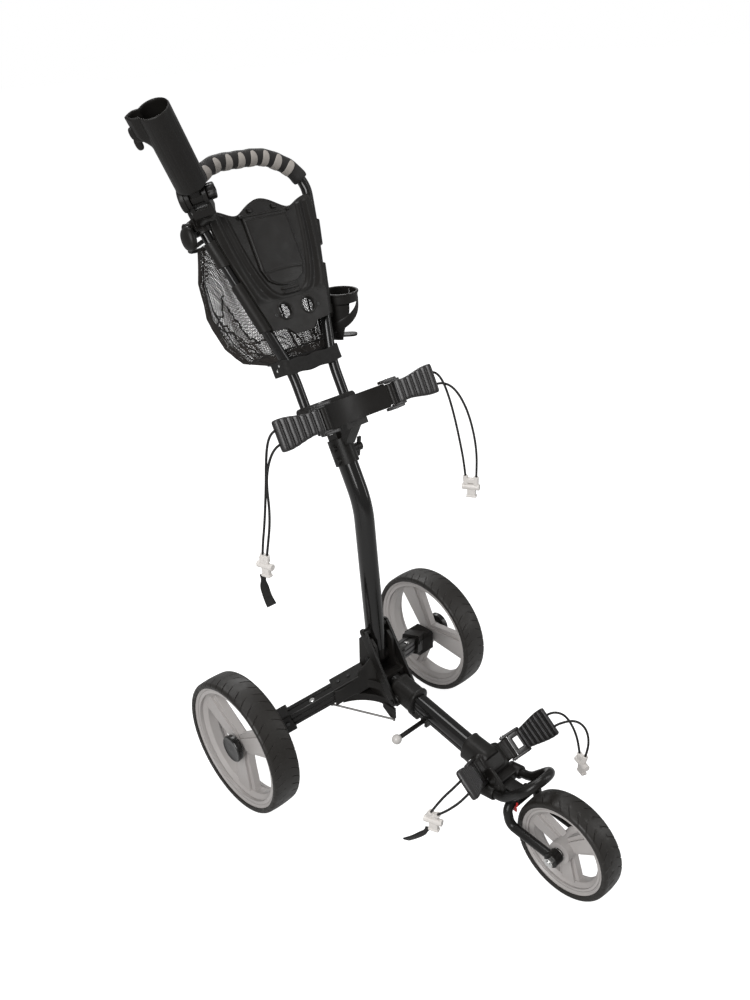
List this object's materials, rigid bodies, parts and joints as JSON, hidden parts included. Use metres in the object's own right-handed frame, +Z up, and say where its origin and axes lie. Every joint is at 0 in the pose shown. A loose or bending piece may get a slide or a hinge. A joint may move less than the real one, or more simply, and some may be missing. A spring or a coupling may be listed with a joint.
{
  "type": "golf push cart",
  "caption": "Unfolded push cart for a golf bag: folding column on a tripod frame with spoked wheels, bag cradles with elastic cords, console, net, cup and umbrella holders.",
  "frame": {"origin": "on the ground, under the middle of the cart's box without the cords", "axes": "+Z up, the front wheel toward -Y, X across the cart"},
  "size_m": [0.583, 0.8971, 1.2901],
  "materials": {
    "black_tube": "gloss black paint on tube",
    "black_plastic": "fine-grained black moulding",
    "tyre": "black foam tyre",
    "rim": "satin grey moulding",
    "cap": "satin black moulding",
    "steel": "bright zinc plate",
    "screws": "blackened steel",
    "ball": "light grey ball",
    "red_tab": "red moulding",
    "grip": "dark foam with light inlays",
    "net": "black knitted mesh",
    "net_wire": "black hem over wire",
    "cord": "black elastic cord"
  },
  "bodies": {
    "chassis": {"housing_left": "black_plastic", "housing_right": "black_plastic", "rear_leg_left": "black_tube", "rear_leg_right": "black_tube", "wheel_bracket_left": "black_plastic", "wheel_bracket_right": "black_plastic", "axles": "steel", "front_beam": "black_tube", "front_bracket": "black_plastic", "bag_rest_loop": "black_tube", "front_fork": "black_tube", "stay_rods": "steel", "frame_screws": "screws", "leg_pins": "steel", "fork_tab": "red_tab"},
    "wheel_left": {"rear_tyre_left": "tyre", "rear_rim_left": "rim", "rear_hub_cap_left": "cap", "rear_bearings_left": "steel"},
    "wheel_right": {"rear_tyre_right": "tyre", "rear_rim_right": "rim", "rear_hub_cap_right": "cap", "rear_bearings_right": "steel"},
    "wheel_front": {"front_tyre": "tyre", "front_rim": "rim", "front_bearings": "steel"},
    "column": {"column_tube": "black_tube", "column_foot": "black_plastic", "collar": "black_plastic", "cradle_band": "black_plastic"},
    "sleeve": {"slide_sleeve": "black_plastic"},
    "lever": {"lock_lever": "black_tube", "lock_knob": "ball"},
    "struts": {"fold_strut_left": "black_tube", "fold_strut_right": "black_tube"},
    "handle": {"handle_tube": "black_tube", "grip": "grip", "handle_yoke": "black_plastic", "console": "black_plastic", "net_bag": "net", "net_rim": "net_wire", "net_tray": "black_plastic", "cup_holder": "black_plastic", "umbrella_clamp": "black_plastic"},
    "lid": {"scorecard_lid": "black_plastic"},
    "swivel": {"umbrella_block": "black_plastic", "umbrella_tilt_knob": "black_plastic"},
    "holder": {"umbrella_tube": "black_plastic"},
    "holder_screw": {"umbrella_screw": "black_plastic"},
    "paddle": {"umbrella_paddle": "black_plastic"},
    "knob": {"collar_knob": "black_plastic"},
    "arm_upper_left": {"upper_arm_left": "black_plastic", "cord_upper_left": "cord"},
    "arm_upper_right": {"upper_arm_right": "black_plastic", "cord_upper_right": "cord"},
    "arm_lower_left": {"lower_arm_left": "black_plastic", "cord_lower_left": "cord"},
    "arm_lower_right": {"lower_arm_right": "black_plastic", "cord_lower_right": "cord"}
  },
  "joints": [
    {"name": "wheel_left_spin", "type": "hinge", "parent": "chassis", "child": "wheel_left", "pos_m": [-0.26, 0.229, 0.14], "axis": [1, 0, 0], "continuous": true},
    {"name": "wheel_right_spin", "type": "hinge", "parent": "chassis", "child": "wheel_right", "pos_m": [0.26, 0.229, 0.14], "axis": [1, 0, 0], "continuous": true},
    {"name": "wheel_front_spin", "type": "hinge", "parent": "chassis", "child": "wheel_front", "pos_m": [0, -0.349, 0.096], "axis": [1, 0, 0], "continuous": true},
    {"name": "column_fold", "type": "hinge", "parent": "chassis", "child": "column", "pos_m": [0, 0.1175, 0.262], "axis": [1, 0, 0], "range_deg": [0, 70]},
    {"name": "sleeve_slide", "type": "slide", "parent": "chassis", "child": "sleeve", "axis": [0, -0.9774, -0.2113], "range_m": [0, 0.09234]},
    {"name": "strut_swing", "type": "hinge", "parent": "column", "child": "struts", "pos_m": [0, 0.12011, 0.32695], "axis": [1, 0, 0], "range_deg": [-83.67, 0]},
    {"name": "lock_lever_turn", "type": "hinge", "parent": "sleeve", "child": "lever", "pos_m": [0, -0.00919, 0.17197], "axis": [0, -0.9774, -0.2113], "range_deg": [0, 35]},
    {"name": "handle_fold", "type": "hinge", "parent": "column", "child": "handle", "pos_m": [0, 0.20097, 0.7403], "axis": [1, 0, 0], "range_deg": [-110, 0]},
    {"name": "lid_open", "type": "hinge", "parent": "handle", "child": "lid", "pos_m": [0, 0.3429, 1.08795], "axis": [-1, 0, 0], "range_deg": [0, 110]},
    {"name": "umbrella_swivel", "type": "hinge", "parent": "handle", "child": "swivel", "pos_m": [-0.124, 0.3386, 1.10324], "axis": [0, -0.9048, 0.4258], "range_deg": [-30, 30]},
    {"name": "umbrella_tilt", "type": "hinge", "parent": "swivel", "child": "holder", "pos_m": [-0.1455, 0.3177, 1.14], "axis": [0.7268, -0.6388, 0.2526], "range_deg": [-30, 60]},
    {"name": "umbrella_screw_turn", "type": "hinge", "parent": "holder", "child": "holder_screw", "pos_m": [-0.20511, 0.29162, 1.24556], "axis": [-0.7268, 0.6388, -0.2526], "range_deg": [-90, 90]},
    {"name": "umbrella_paddle_turn", "type": "hinge", "parent": "handle", "child": "paddle", "pos_m": [-0.14497, 0.36053, 1.08408], "axis": [1, 0, 0], "range_deg": [-60, 60]},
    {"name": "collar_knob_turn", "type": "hinge", "parent": "column", "child": "knob", "pos_m": [0.03, 0.16872, 0.68585], "axis": [1, 0, 0], "range_deg": [-120, 120]},
    {"name": "upper_arm_left_swing", "type": "hinge", "parent": "column", "child": "arm_upper_left", "pos_m": [-0.077, 0.1223, 0.7845], "axis": [0, 0.4258, 0.9048], "range_deg": [-8, 60]},
    {"name": "upper_arm_right_swing", "type": "hinge", "parent": "column", "child": "arm_upper_right", "pos_m": [0.077, 0.1223, 0.7845], "axis": [0, -0.4258, -0.9048], "range_deg": [-8, 60]},
    {"name": "lower_arm_left_swing", "type": "hinge", "parent": "chassis", "child": "arm_lower_left", "pos_m": [-0.043, -0.1815, 0.1805], "axis": [0, 0.7443, 0.6678], "range_deg": [-30, 35]},
    {"name": "lower_arm_right_swing", "type": "hinge", "parent": "chassis", "child": "arm_lower_right", "pos_m": [0.043, -0.1815, 0.1805], "axis": [0, -0.7443, -0.6678], "range_deg": [-30, 35]}
  ],
  "couplings": [
    {"joint": "sleeve_slide", "follows": "column_fold", "m_per_rad": 0.075581},
    {"joint": "strut_swing", "follows": "column_fold", "ratio": -1.1953}
  ]
}
